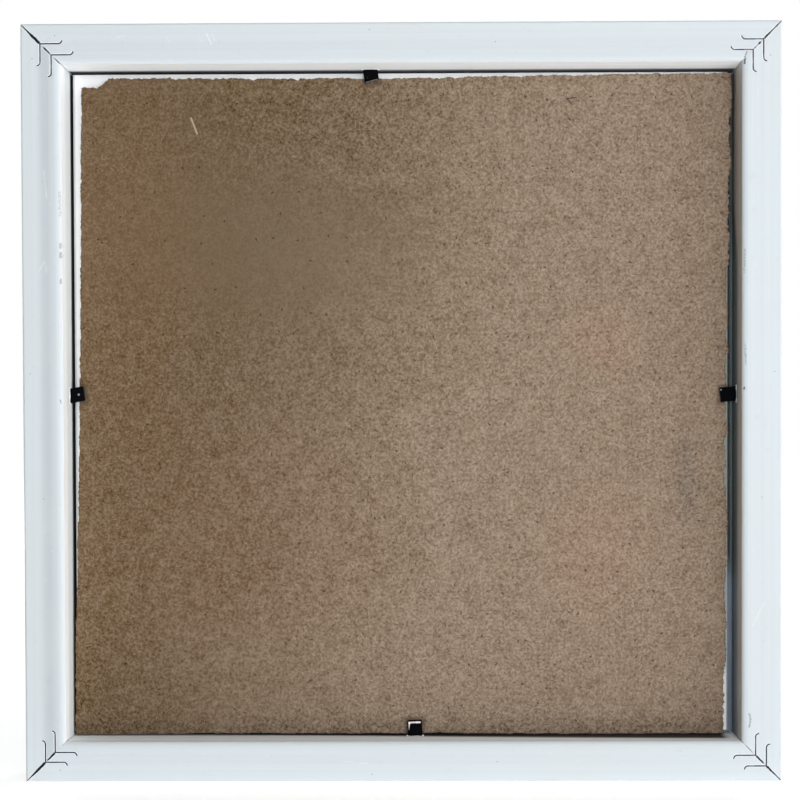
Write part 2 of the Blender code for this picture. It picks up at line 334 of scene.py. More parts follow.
def plastic_finish(rail, upright, corners, band_darkness, wall_shade, foot, marks, scuffs):
    """White plastic drawn along Z where upright is true, else along X.

    across runs inward from the outer side and along down the rail's length. The mitre's dirt lies where
    |across_x - across_z| / sqrt(2), the distance from the saw cut, is under a reach that grows with the
    square of how open the joint stands there. The wall colours hold the rabbet wall's colour deep down and
    near the back: painted shade, darker deeper in the rabbet, and on the left rail brown light painted as
    reflected from the board.
    """
    made = Finish(f"drawn_plastic_{rail}", specular=0.22)
    across_x, across_z = HALF - abs(made.x), HALF - abs(made.z)
    across, along = (across_x, made.z) if upright else (across_z, made.x)
    drawn = made.vector(across, along * 0.004, made.y)
    streaks = made.noise(2.6, 2.0, 0.55, drawn)
    lines = made.noise(0.45, 2.0, 0.6, made.vector(across, along * 0.010, made.y))
    ridge = across.rise(RIDGE_START, RIDGE_STOP)
    band = across.rise_mm(4.6, 8.2) * across.rise_mm(12.2, 8.8)
    cloud = made.noise(38, 3.0, 0.55)
    dapple = made.noise(3.5)
    scratches = made.hairs(across, along, 16, 9, 0.16, 0.45, 3.7)
    nicks = made.hairs(along, across, 9, 1.6, 0.22, 0.30, 8.1)
    specks = made.hairs(across, along, 21, 0.5, 0.34, 0.30, 1.3)
    ragged = made.noise(0.7)
    behind = made.y.rise_mm(5, 7)

    streaked = streaks.rise(0.35, 0.75) * 0.26 + lines.rise(0.3, 0.8) * 0.10 + band * behind * band_darkness
    in_rabbet = across.rise_mm(13.2, 13.38) * made.y.rise(LEDGE - 0.25 * MM, LEDGE - 0.15 * MM)
    colour = made.layered(
        PLASTIC,
        (streaked.least(1.0), STREAK_AND_SHADE),
        (cloud.rise(0.45, 0.80) * 0.45, PLASTIC_AGED),
        (dapple.rise(0.60, 0.85) * 0.12, GRIME),
        (scratches * 0.10, GRIME),
        (nicks * 0.5, PLASTIC_SCUFF),
        (specks * 0.7, SOOT_AND_SHADE),
        # painted shade on the rounded outer edge of the back
        (across.rise_mm(1.0, 0.2) * behind * 0.30, STREAK_AND_SHADE),
        # painted shade deep in the rabbet, and on the left rail painted brown light from the board
        (in_rabbet * (cloud * 0.3 + 0.7), made.mix(made.y.rise_mm(3.5, 8), *wall_shade)),
    )

    opening = mitre_opening(made, corners, along, across_x + across_z)
    from_mitre = abs(across_x - across_z) / math.sqrt(2)
    reach = opening ** 2 * (0.38 * MM) + (ragged - 0.5) * (0.36 * MM) + 0.07 * MM
    pressed = from_mitre.rise_mm(1.1, 0.3) * opening.rise(0.0, 0.5)
    colour = made.mix(pressed * 0.30, colour, PLASTIC_SCUFF)
    crack = from_mitre.rise(reach + 0.06 * MM, reach - 0.06 * MM) * opening.rise(0.08, 0.75)
    crack = crack * (behind * 0.6 + 0.4)
    for start, end, width, strength in marks:
        broken = ragged.rise(0.60, 0.44) if strength < 0.35 else 1.0
        stroke = made.stroke(start, end, width * MM, (ragged - 0.5) * (width * 1.2 * MM))
        crack = crack.most(stroke * broken * behind * strength)
    for start, end, width, strength in scuffs:
        stroke = made.stroke(start, end, width * MM, (dapple - 0.5) * (width * 1.4 * MM))
        colour = made.mix(stroke * behind * ragged.rise(0.30, 0.55) * strength, colour, PLASTIC_SCUFF)
    colour = made.mix(crack, colour, CRACK)
    # Painted shade at the foot of the rabbet wall, with a painted glint low on the left rail
    foot_shaded, dust_and_shade = foot_shade(made, rail, along, in_rabbet, foot)
    colour = made.mix(foot_shaded, colour, dust_and_shade)
    roll = across.rise(EDGE_ROLL, LAND - 0.3 * MM) * behind
    relief = ridge - roll * 1.6 + lines * 0.05 + streaks * 0.12 + dapple * 0.03
    relief = relief - scratches * 0.10 - nicks * 0.08 - crack * 0.35 + pressed * 0.12
    gloss = 0.38 + streaks * 0.10 + dapple * 0.10 + scratches * 0.2 + foot_shaded * 0.3
    return made.surface(colour, gloss, relief, RIDGE_HEIGHT)


# Of each rail: whether it stands upright, its corners, how dark the band along its ridge is, the colours of
# its rabbet's wall deep down and near the back, painted darker deep down as shade and, on the left, brown as
# light reflected from the board, and the wall's foot, with its painted shade. Then its dark marks and pale
# scuffs: (x, z) of both ends and the width in millimetres, and the strength
LEFT_CRACKS = (
    ((-115.1, 243.7), (-115.0, 243.1), 0.46, 0.50),
    ((-114.8, 242.6), (-114.7, 242.3), 0.42, 0.55),
    ((-114.5, 241.7), (-114.4, 239.7), 0.62, 0.80),
)
UNSHADED_WALL = (0.90, 0.92, 0.93)
ALL_ALONG = (-127, 127)
RAILS = (
    (
        "left_rail", True, ("bottom_left", "top_left"), 0.10, ((0.52, 0.48, 0.42), (0.58, 0.55, 0.50)),
        ((45, 75), 3.4, -2.4, 2.6, (0.160, 0.195, 0.195), (0.080, 0.083, 0.083)), LEFT_CRACKS + (
            ((-116.1, 22.7), (-116.4, 20.8), 0.66, 0.38),
            ((-116.4, 20.8), (-116.1, 18.3), 0.60, 0.40),
            ((-114.35, 132.0), (-114.30, 131.5), 0.48, 0.75),
            ((-114.5, 178.0), (-114.3, 170.2), 0.55, 0.32),
            ((-114.5, 146.6), (-114.9, 139.8), 0.55, 0.32),
        ), (((-121.0, 60.0), (-117.0, 52.0), 0.5, 0.3),),
    ),
    (
        "right_rail", True, ("bottom_right", "top_right"), 0.85, ((0.68, 0.71, 0.70), UNSHADED_WALL),
        (ALL_ALONG, -0.3, -0.5, 0.8, SOOT_AND_SHADE, SOOT_AND_SHADE), (
            ((114.1, 198.0), (114.1, 190.0), 0.66, 0.26),
            ((114.0, 180.8), (114.0, 179.3), 0.60, 0.36),
            ((114.0, 177.7), (114.0, 176.1), 0.60, 0.42),
            ((114.0, 168.8), (114.0, 167.6), 0.56, 0.38),
            ((114.3, 128.5), (114.2, 127.5), 0.35, 0.50),
        ), (
            ((121.2, 171.4), (119.2, 175.2), 0.42, 0.45),
            ((119.2, 175.2), (118.6, 171.0), 0.36, 0.35),
            ((119.3, 205.0), (118.4, 196.0), 0.5, 0.3),
        ),
    ),
    (
        "top_rail", False, ("top_left", "top_right"), 0.10, ((0.81, 0.84, 0.84), UNSHADED_WALL),
        (ALL_ALONG, 1.4, 1.6, 1.3, (0.110, 0.115, 0.130), SOOT_AND_SHADE), LEFT_CRACKS, (
            ((78.2, 249.6), (76.9, 247.4), 0.40, 0.40),
            ((64.6, 250.4), (63.0, 246.8), 0.36, 0.75),
            ((62.8, 250.2), (61.9, 248.0), 0.30, 0.60),
            ((66.4, 248.2), (65.6, 247.4), 0.40, 0.50),
            ((96.0, 248.6), (92.0, 250.0), 0.45, 0.35),
        ),
    ),
    (
        "bottom_rail", False, ("bottom_left", "bottom_right"), 0.10, ((0.90, 0.93, 0.95), UNSHADED_WALL),
        (ALL_ALONG, 5.6, -1.2, 1.5, (0.036, 0.031, 0.029), SOOT_AND_SHADE), (
            ((103.6, 16.6), (100.2, 17.6), 0.5, 0.30),
        ), (((20.0, 7.0), (12.0, 6.2), 0.5, 0.3),),
    ),
)
for rail, *make in RAILS:
    coat(frame["nodes"][rail], plastic_finish(rail, *make))


# The mitres. The saw cuts aren't quite true, so the two rails touch in some places and stand open in
# others. Pressed plastic and glue fill each joint up to a height that changes along it.
SIGHT_EDGE = HIGH.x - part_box("right_rail")[0].x  # a rail's width, outer side to the lip's edge
SHOULDER = 4.5 * MM
FRONT_POWER = 2.8
OUTER_ROUND = 0.8 * MM  # radii of the back's two long edges
INNER_ROUND = 1.1 * MM
JOINT_WIDTH = 0.27 * MM
JOINT_INSET = 0.05 * MM  # a closed joint's filling stays this far below the moulding's surface
JOINT_DEPTH = 1.3 * MM  # how much lower the filling lies where the joint is fully open
NAIL_ZONE = -0.7 * MM  # the V-nails reach down to about here
NAIL_CLEARANCE = 0.42 * MM


def placed(name, data):
    """A new object in the scene, made of that data."""
    piece = bpy.data.objects.new(name, data)
    bpy.context.scene.collection.objects.link(piece)
    return piece


def finished(name, points, faces, smooth_angle=40.0):
    """A piece with those points and faces, which turn outwards and are smooth up to that angle."""
    mesh = bpy.data.meshes.new(name)
    mesh.from_pydata(points.reshape(-1, 3).tolist(), [], faces)
    shape = bmesh.new()
    shape.from_mesh(mesh)
    bmesh.ops.recalc_face_normals(shape, faces=shape.faces)
    shape.to_mesh(mesh)
    shape.free()
    mesh.shade_smooth()
    mesh.set_sharp_from_angle(angle=math.radians(smooth_angle))
    return placed(name, mesh)


def between(here, there):
    """The four-sided faces from rings of point numbers, here, to the rings that they join, there."""
    quads = np.stack([here, np.roll(here, -1, -1), np.roll(there, -1, -1), there], axis=-1)
    return quads.reshape(-1, 4).tolist()


def shell(name, sections, ring=False, smooth_angle=40.0):
    """A closed skin over sections, an array of shape (sections, points around, 3).

    Every point is joined to its neighbour around the section and to the same point of the next one. The
    run of sections closes on itself as a ring, or else ends in two flat faces.
    """
    count, around, _ = sections.shape
    index = np.arange(count * around).reshape(count, around)
    if ring:
        faces = between(index, np.roll(index, -1, axis=0))
    else:
        faces = between(index[:-1], index[1:]) + [index[0, ::-1].tolist(), index[-1].tolist()]
    return finished(name, sections, faces, smooth_angle)


def store(piece, name, values, kind="FLOAT", field="value"):
    """Puts a number, or a vector, into each point of a piece for its finish to read."""
    attribute = piece.data.attributes.new(name, kind, "POINT")
    attribute.data.foreach_set(field, np.ravel(values).astype(np.float32))


def mitre_filling(corner, side, end, points, opening):
    """A slab in the mitre's plane, from just behind the cushion-shaped face to just below the back.

    At the distance a from both outer sides the face lies SHOULDER * (1 - (1 - |c| ** p) ** (1 / p)) behind
    the front, with c from -1 to 1 across the moulding and p FRONT_POWER. The back's edges are quarter
    circles, r - sqrt(r * r - b * b) low. A point of the slab is (side * (HALF - a), y, MIDDLE_Z + end *
    (HALF - a)), moved half the joint's width square to the mitre.
    """
    nails = np.array(points)[:, None] * MM
    steps = (nails + np.array([-1.02, -0.98, 0.98, 1.02]) * NAIL_CLEARANCE).ravel()
    walls = np.array([LAND - JOINT_INSET * 1.1, LAND - JOINT_INSET * 0.9])
    even = np.linspace(JOINT_WIDTH / 2 + JOINT_INSET, SIGHT_EDGE - JOINT_INSET, 150)
    across = np.sort(np.concatenate([even, steps, walls]))
    swell = (1 - np.abs(2 * across / SIGHT_EDGE - 1) ** FRONT_POWER) ** (1 / FRONT_POWER)
    low = FRONT + SHOULDER - SHOULDER * swell + JOINT_INSET
    places, openings = np.array(opening).T
    gape = np.interp(across / MM, places, openings)
    outer = np.clip(OUTER_ROUND - across, 0, OUTER_ROUND)
    inner = np.clip(INNER_ROUND - (LAND - across), 0, INNER_ROUND)
    drop = OUTER_ROUND - np.sqrt(OUTER_ROUND ** 2 - outer ** 2)
    drop += INNER_ROUND - np.sqrt(INNER_ROUND ** 2 - inner ** 2)
    high = BACK - drop - JOINT_INSET - JOINT_DEPTH * gape ** 1.5
    at_nail = (np.abs(across - nails) < NAIL_CLEARANCE).any(axis=0)
    high = np.where(at_nail, NAIL_ZONE, high)
    high = np.where(across > LAND - JOINT_INSET, LEDGE - JOINT_INSET, high)
    away = JOINT_WIDTH / 2 / math.sqrt(2)
    sections = np.zeros((len(across), 4, 3))
    for point, (height, face) in enumerate(((low, -1), (low, 1), (high, 1), (high, -1))):
        sections[:, point, 0] = side * (HALF - across + face * away)
        sections[:, point, 1] = height
        sections[:, point, 2] = MIDDLE_Z + end * (HALF - across - face * away)
    piece = shell(f"mitre_filling_{corner}", sections)
    store(piece, "grimy", np.stack([gape * 0, gape * 0, gape, gape], axis=1))
    return piece


def glue_finish():
    """Pressed plastic and a film of glue: white in a closed joint and black in an open one."""
    made = Finish("mitre_glue", specular=0.2)
    grimy = made.stored("grimy")
    patches = made.noise(1.1)
    dust_and_shade = made.noise(0.5, 2.0, 0.6)
    colour = made.layered(
        (0.68, 0.73, 0.76),
        (patches.rise(0.35, 0.75), (0.59, 0.62, 0.635)),
        (dust_and_shade.rise(0.55, 0.85) * 0.4, GRIME),
        ((grimy + (patches - 0.5) * 0.5).rise(0.18, 0.55), (0.010, 0.011, 0.014)),
    )
    return made.surface(colour, 0.45 + patches * 0.2, dust_and_shade, 0.04 * MM)


glue = glue_finish()
for corner, (side, end, points, opening) in CORNERS.items():
    filling = mitre_filling(corner, side, end, points, opening)
    coat(filling, glue)
    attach(filling, "frame")


# The V-nails. Bent strips of blued spring steel with curled ends, pressed into the backs of both rails
# across each mitre. The plastic that they push aside stands pale and smooth round them.
NAIL_LEG = 6.1 * MM
CURL_RADIUS = 1.2 * MM
CURL_ANGLE = 78.0
# The collar's section: distance from the strip's middle line, and height above the back
COLLAR = np.array([
    (0.185, -0.60), (0.185, -0.20), (0.205, -0.11), (0.235, -0.07),
    (0.275, -0.04), (0.360, -0.014), (0.445, -0.008), (0.445, -0.60),
]) * MM
COLLAR_SHADE = 0.22 * MM  # the groove's shade is painted dark up to this far from the middle line


def nail_line(setback):
    """Middle line of a V-nail in plan, as distances from the two outer sides: a quarter curl, a straight
    leg, the point on the mitre, and the same mirrored."""
    turn = np.radians(np.linspace(90 - CURL_ANGLE, 90, 12))
    centre = np.array([setback + NAIL_LEG, setback - CURL_RADIUS])
    leg = centre + CURL_RADIUS * np.stack([np.cos(turn), np.sin(turn)], axis=1)
    return np.vstack([leg, [[setback, setback]], leg[::-1, ::-1]])


def parallel(line, distance):
    """The closed line round an open one at that distance, square at its ends.

    Each corner moves along the bisector of its two sides' normals n and m, by distance / (1 + n.m)
    times their sum, so that both sides stay parallel.
    """
    steps = np.diff(line, axis=0)
    steps /= np.linalg.norm(steps, axis=1)[:, None]
    line = np.vstack([line[0] - steps[0] * distance, line[1:-1], line[-1] + steps[-1] * distance])
    normals = np.stack([-steps[:, 1], steps[:, 0]], axis=1)
    before = np.vstack([normals[:1], normals])
    after = np.vstack([normals, normals[-1:]])
    shift = (before + after) * (distance / (1 + (before * after).sum(1)))[:, None]
    return np.vstack([line + shift, (line - shift)[::-1]])


def collar(name, side, end, setback):
    """The plastic pushed up round a V-nail: COLLAR's section carried round the nail's line. It stands
    level with the rail at its outer edge and dips towards the steel. Where it meets the steel its points are
    marked 1, for painted shade in the groove."""
    line = nail_line(setback)
    sections = []
    for distance, height in COLLAR:
        plan = parallel(line, distance)
        x = side * (HALF - plan[:, 0])
        z = MIDDLE_Z + end * (HALF - plan[:, 1])
        sections.append(np.stack([x, np.full(len(plan), BACK + height), z], axis=1))
    piece = shell(name, np.stack(sections), ring=True, smooth_angle=50.0)
    store(piece, "grimy", np.repeat([distance < COLLAR_SHADE for distance, _ in COLLAR], len(plan)))
    return piece


def pressed_plastic_finish():
    """Stretched plastic: paler than the moulding, with a fine crazing. The open mitre shows as a dark line
    that runs through it up to each V-nail's point."""
    made = Finish("pressed_plastic", specular=0.25)
    pale = made.noise(1.4)
    craze = made.noise(0.18, 2.0, 0.7)
    colour = made.layered(
        (0.76, 0.81, 0.84),
        (pale.rise(0.3, 0.7), (0.90, 0.92, 0.93)),
        (craze.rise(0.62, 0.8) * 0.25, GRIME),
        # painted shade in the groove beside the steel
        ((made.stored("grimy") + (craze - 0.5) * 0.5).rise(0.25, 0.75), (0.020, 0.031, 0.054)),
    )
    for side, end, points, opening in CORNERS.values():
        for point in points:
            gape = np.interp(point - 0.6, *np.array(opening).T)
            ends = [
                (side * (HALF / MM - distance), (MIDDLE_Z + end * HALF) / MM - end * distance)
                for distance in (point - 0.75, point - 0.05)
            ]
            width = (0.20 + 0.36 * gape ** 2) * MM
            open_mitre = made.stroke(*ends, width, (craze - 0.5) * 0.2 * MM)
            colour = made.mix(open_mitre * min(1.0, gape + 0.1), colour, CRACK)
    return made.surface(colour, 0.34 + pale * 0.15, craze, 0.02 * MM)


def nail_steel_finish():
    """Blued spring steel, sheared on its edges: drawn lines down the strip, dull patches, and places where
    plastic is smeared over it."""
    made = Finish("blued_steel", specular=0.3)
    drawn = made.noise(0.12, 2.0, 0.6, made.vector(made.x, made.y * 0.15, made.z))
    patches = made.noise(1.8)
    smears = made.noise(3.6, 2.0, 0.5).rise(0.52, 0.68)
    colour = made.mix(patches.rise(0.35, 0.7), (0.015, 0.025, 0.044), (0.045, 0.066, 0.102))
    colour = made.mix(smears * 0.45, colour, (0.34, 0.38, 0.42))
    return made.surface(colour, 0.40 + drawn * 0.25, drawn, 0.01 * MM, Metallic=1 - smears)


pressed_plastic = pressed_plastic_finish()
nail_steel = nail_steel_finish()
for corner, (side, end, points, _) in CORNERS.items():
    for order, point in zip(("outer", "inner"), points):
        coat(frame["nodes"][f"v_nail_{corner}_{order}"], nail_steel)
        ring = collar(f"nail_collar_{corner}_{order}", side, end, point * MM)
        coat(ring, pressed_plastic)
        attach(ring, "frame")


# The glazing. A pane of thin float glass that lies on the lip. Its edges are cut and left raw. Near them
# the pane is painted nearly black with the rabbet's shade, except low on the left, where a blue-grey light
# is painted on.
def glass_finish():
    """A thin pane: mostly clear, and less clear close to its cut edges, where it is painted with the rabbet's
    shade, and low on the left with a blue-grey light.
    """
    made = Finish("float_glass", specular=0.3)
    to_edge = made.inset(*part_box("glazing_sheet"))
    smear = made.noise(30, 4.0, 0.6)
    chips = made.noise(0.9, 3.0, 0.65)
    raw_edge = to_edge.rise_mm(0.25, 0.02)
    catching = made.x.rise_mm(-105, -110) * made.z.rise_mm(-50, -64)
    edge_band = to_edge.rise_mm(3.4, 0.2)
    # painted shade near the edges, and a painted blue-grey light low on the left
    tint = made.mix(catching, (0.045, 0.052, 0.058), (0.26, 0.31, 0.38))
    glint = (raw_edge * chips.rise(0.5, 0.7) * 0.35, (0.40, 0.46, 0.52))
    colour = made.layered((0.90, 0.95, 0.97), (edge_band.rise(0.0, 0.5), tint), glint)
    alpha = (0.08 + edge_band * 0.55 + smear.rise(0.45, 0.75) * 0.03 + raw_edge * 0.3).least(1.0)
    gloss = 0.05 + raw_edge * 0.35 + smear * 0.05
    return made.surface(colour, gloss, chips * raw_edge, 0.05 * MM, Alpha=alpha)


coat(frame["nodes"]["glazing_sheet"], glass_finish())


# The sheet behind the glass. White card, cut by hand a little smaller than the rabbet, so that its edge
# shows beside the board.
def card_finish():
    """White card: fine fibres, a little cloudiness, a little darker along its cut edges, and painted shade
    along its left and right edges, wide and grey-green high on the left, blue-grey lower down and narrow at
    the bottom."""
    made = Finish("white_card", specular=0.15)
    low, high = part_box("print_insert")
    to_edge = made.inset(low, high)
    fibre = made.noise(0.35, 3.0, 0.65)
    cloud = made.noise(14, 3.0, 0.5)
    lit_low_down = made.z.rise_mm(-87, -95)
    from_left, from_right = made.x - low.x, high.x - made.x
    # painted shade along the card's left and right edges, narrow low down on the left
    card_edge_shade = from_left.rise_mm(2.6, 1.2) * (1 - lit_low_down) + from_left.rise_mm(0.6, 0.2) * lit_low_down
    edge_shade_colour = made.mix(made.z.rise_mm(-20, -80), (0.27, 0.31, 0.28), (0.33, 0.39, 0.42))
    colour = made.layered(
        (0.93, 0.94, 0.96),
        (cloud.rise(0.30, 0.80), (0.915, 0.925, 0.95)),
        (fibre.rise(0.55, 0.85) * 0.12, (0.82, 0.83, 0.85)),
        (to_edge.rise_mm(0.25, 0) * 0.12, (0.62, 0.63, 0.66)),
        ((card_edge_shade * 0.92 + from_right.rise_mm(0.9, 0.2) * 0.6).least(1.0), edge_shade_colour),
    )
    return made.surface(colour, 0.62 + fibre * 0.2, fibre, 0.02 * MM)


coat(frame["nodes"]["print_insert"], card_finish())


# The back. Brown hardboard about 2 mm thick, pressed from wood fibre and sawn by hand, so its edges are
# torn and hairy, most on the left, and one corner has broken away.
BOARD_STEP = 0.26 * MM  # between points along its edge
DEEPEST_BITE = 1.0 * MM
LONGEST_TOOTH = 0.42 * MM
TUFTS = 1500
# How far the saw ran outside the straight line on each side, by the way the side faces. Each pair is a
# place along the side, z on the upright ones and x on the others, and that distance, in millimetres
SAW_DRIFT = {
    (1, 0): (
        (19, -0.30), (24, -0.33), (34, 0.03), (45, 0.25), (55, 0.12), (65, -0.50), (75, -0.36), (94, -0.44),
        (139, -0.46), (163, -0.50), (197, -0.12),
    ),
    (-1, 0): (
        (24, 0.20), (34, -0.20), (41, 0.35), (55, 0.40), (65, 0.10), (75, 0.30), (86, 0.50), (96, -0.25),
        (106, -0.35), (117, 0.15), (125, -0.10), (137, -0.45), (147, 0.0), (157, -0.50), (168, -0.55),
        (178, 0.10), (188, 0.10), (198, -0.30), (208, 0.35), (219, 0.0), (229, 0.50),
    ),
    (0, 1): (
        (-104, 0.09), (-93, -0.10), (-83, 0.30), (-73, 0.08), (-52, -0.18), (-42, -0.10), (-21, -0.43),
        (0, -0.55), (21, -0.43), (31, -0.30), (52, -0.25), (72, 0.10), (93, 0.40),
    ),
    (0, -1): ((-101, 0.15), (-72, 0.25), (-50, 0.08), (50, -0.12), (108, 0.10)),
}
board_low, board_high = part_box("backing_board")
BOARD_THICKNESS = board_high.y - board_low.y
# Of each ring of the board: its distance in from the edge and its depth below the back face, both in
# millimetres, and its share of the edge's roughness
BOARD_RINGS = (
    (90, 0, 0), (30, 0, 0), (8, 0, 0), (2.5, 0.0, 0.3), (1.1, 0.0, 0.6), (0.55, 0.02, 0.85),
    (0.26, 0.07, 1.0), (0.08, 0.20, 1.0), (0.0, 0.50, 1.1), (0.02, 0.95, 0.8), (0.0, 1.35, 1.0),
    (0.03, 1.75, 0.7), (0.14, 2.1, 0.5), (0.5, 2.2, 0.2), (3, 2.2, 0), (40, 2.2, 0),
)
FAR_FACE = BOARD_RINGS[-1][1]  # the depth of the face that lies on the card
# Of each soft stain: how strong it is and its colour, (x, z) of its middle, its width and its height in
# millimetres, and how soft its edge is
STAINS = (
    (0.45, (0.165, 0.124, 0.076), (48, 186), 50, 40, 0.8),
    (0.35, (0.190, 0.110, 0.062), (92, 176), 24, 60, 0.7),
    (0.40, (0.205, 0.130, 0.080), (62, 80), 60, 42, 0.7),
    (0.26, (0.350, 0.205, 0.152), (-69, 148.6), 13, 12, 0.7),
    (0.34, (0.335, 0.213, 0.161), (-67, 76), 20, 24, 0.7),
    (0.35, (0.165, 0.143, 0.122), (-97, 101), 4, 13, 0.7),
)
RUBBED = ((44, 180), 46, 27, 0.8)  # where the grain is rubbed smooth, as a stain
GRAIN_SWING = (0.215, 0.180, 0.147)  # what a grain of strength 1 adds to the board's colour
rng = np.random.default_rng(41)


def board_corners():
    """The corners of the CAD board in order round it, as an array of (x, z)."""
    mesh = frame["nodes"]["backing_board"].data
    places = np.zeros(len(mesh.vertices) * 3)
    mesh.vertices.foreach_get("co", places)
    plan = np.unique(np.round(places.reshape(-1, 3)[:, (0, 2)], 6), axis=0)
    angle = np.arctan2(plan[:, 1] - MIDDLE_Z, plan[:, 0])
    return plan[np.argsort(angle)]


def straight_edge(corners):
    """Points a step apart along the straight outline, and the outward normal at each."""
    ends = np.roll(corners, -1, axis=0)
    points, normals = [], []
    for start, stop in zip(corners, ends):
        length = np.linalg.norm(stop - start)
        count = max(3, int(length / BOARD_STEP))
        share = np.linspace(0, 1, count, endpoint=False)[:, None]
        points.append(start + (stop - start) * share)
        along = (stop - start) / length
        normals.append(np.tile([along[1], -along[0]], (count, 1)))
    return np.vstack(points), np.vstack(normals)


def wander(count, apart, spread):
    """Smooth random values along the closed edge: random knots that far apart, joined by cosines."""
    knots = rng.normal(0.0, spread, max(4, int(round(count * BOARD_STEP / apart))))
    at = np.arange(count) * len(knots) / count
    near = at.astype(int)
    share = (1 - np.cos((at - near) * math.pi)) / 2
    return knots[near] * (1 - share) + knots[(near + 1) % len(knots)] * share


def ripples(count, *sizes):
    """Several wanders added up, from how far apart and how large they are, in millimetres."""
    return sum(wander(count, apart * MM, spread * MM) for apart, spread in sizes)


def torn(points, normals):
    """How far the edge stands out from the straight outline: the saw's drift, and wander at many sizes,
    from waves 30 mm long to single fibres, with teeth and bites. The left side is the roughest and the
    bottom the smoothest."""
    count = len(normals)
    sideways, up = normals[:, 0], normals[:, 1]
    left = sideways < -0.7
    coarse = 0.36 + 1.10 * left + 0.34 * (up > 0.7) + 0.22 * (sideways > 0.7)
    drift = np.zeros(count)
    for (right, above), places in SAW_DRIFT.items():
        along = points[:, 1] if right else points[:, 0]
        facing = sideways * right + up * above > 0.9
        drift += facing * np.interp(along / MM, *np.array(places).T) * MM
    fine = ripples(count, (2.6, 0.12), (1.3, 0.12), (0.7, 0.09), (0.45, 0.06))
    teeth = np.maximum(0, wander(count, 0.9 * MM, 1.0) - 0.9) * 0.16 * MM
    bites = np.maximum(0, wander(count, 1.8 * MM, 1.0) - 1.3) * 0.40 * MM
    waves = ripples(count, (30, 0.05), (8, 0.07)) + ripples(count, (4, 0.17)) * left
    return drift + np.clip(waves + coarse * (fine + teeth - bites), -DEEPEST_BITE, LONGEST_TOOTH)


def board_mesh(points, normals, rough):
    """The board as rings from the middle of one face, out to its edge, round it and back to the middle of
    the other. A ring is the outline drawn in towards the centre by a share, plus its own roughness."""
    count = len(points)
    centre = np.array([0.0, MIDDLE_Z])
    sections = np.zeros((len(BOARD_RINGS), count, 3))
    for number, (inset, depth, share) in enumerate(BOARD_RINGS):
        own = ripples(count, (1.0, 0.05), (0.6, 0.04)) * share
        moved = points + normals * (rough * share + own)[:, None]
        moved = moved + (centre - points) * (inset * MM / HALF)
        sections[number, :, 0] = moved[:, 0]
        sections[number, :, 1] = board_high.y - min(depth * MM, BOARD_THICKNESS)
        sections[number, :, 1] += ripples(count, (1.4, 0.03)) * (0 < depth < FAR_FACE) * share
        sections[number, :, 2] = moved[:, 1]
    return shell("hardboard_back", sections, smooth_angle=35.0)


def fibre_tufts(points, normals, rough, number):
    """Torn fibres along the edge: three-sided hairs that taper to a point and bend in the board's plane.

    At the share s of its length L a hair is at L * (s cos t, s sin t + b s * s / 2) from its root, as
    (outward, along the edge), with its own lean t and bend b.
    """
    weight = 0.35 + 1.0 * (normals[:, 0] < -0.7) + 0.5 * (normals[:, 1] > 0.7)
    chosen = rng.choice(len(points), number, replace=False, p=weight / weight.sum())
    out = normals[chosen]
    aside = np.stack([-out[:, 1], out[:, 0]], axis=1)
    length = rng.uniform(0.30, 1.0, number) * MM
    width = rng.uniform(0.035, 0.075, number) * MM
    lean, bend = rng.normal(0, 0.9, number), rng.normal(0, 0.7, number)
    share = np.array([0.0, 0.4, 0.75, 1.0])
    outward = length[:, None] * share * np.cos(lean)[:, None]
    sideways = length[:, None] * (share * np.sin(lean)[:, None] + bend[:, None] * share ** 2 / 2)
    root = points[chosen] + out * (rough[chosen] - 0.12 * MM)[:, None]
    middle = root[:, None] + outward[:, :, None] * out[:, None] + sideways[:, :, None] * aside[:, None]
    height = board_high.y - rng.uniform(0.06, 1.2, number) * MM
    height = height[:, None] + 0.12 * length[:, None] * bend[:, None] * share
    around = np.radians([90, 210, 330])
    size = width[:, None] * (1 - share * 0.85)
    sections = np.zeros((number, 4, 3, 3))
    flat = middle[:, :, None] + (size[:, :, None] * np.cos(around))[..., None] * aside[:, None, None]
    sections[..., 0] = flat[..., 0]
    sections[..., 1] = height[:, :, None] + size[:, :, None] * np.sin(around)
    sections[..., 2] = flat[..., 1]
    index = np.arange(number * 12).reshape(number, 4, 3)
    faces = between(index[:, :-1], index[:, 1:]) + index[:, 0, ::-1].tolist() + index[:, -1].tolist()
    return finished("hardboard_tufts", sections, faces)


def stain(made, uneven, centre, width, height, soft):
    """1 in an ellipse about (x, z) in millimetres, with an uneven edge that is as wide as soft."""
    sideways = (made.x / MM - centre[0]) / width
    up = (made.z / MM - (centre[1] - MIDDLE_Z / MM)) / height
    return ((sideways ** 2 + up ** 2) ** 0.5 + uneven).rise(0.9 + soft, 0.9 - soft)


def scratched(made, ragged):
    """The pale scratches, each with its own strength: two straight ones, and a long one that bends."""
    scratch = made.stroke((71.8, 224.6), (69.8, 219.4), 0.6 * MM) * 0.9
    scratch = scratch.most(made.stroke((-52.0, 228.0), (-72.0, 208.0), 0.45 * MM, (ragged - 0.4) * MM) * 0.45)
    bends = ((-54.0, 140.0), (-24.0, 104.0), (-4.0, 62.0), (2.0, 44.0))
    for start, end in zip(bends, bends[1:]):
        scratch = scratch.most(made.stroke(start, end, 0.5 * MM, (ragged - 0.4) * MM) * 0.34)
    return scratch


def near_blade(made, ragged, low, high):
    """1 where a framer's point lies on the board, with its box from low to high, and falling off round it."""
    centre, size = (low + high) / 2, (high - low) / 2
    sideways = (abs(made.x - centre.x) - size.x).most(0.0)
    up = (abs(made.z - (centre.z - MIDDLE_Z)) - size.z).most(0.0)
    beside = (sideways ** 2 + up ** 2) ** 0.5 + (ragged - 0.5) * MM
    return beside.rise_mm(1.3, 0.1)


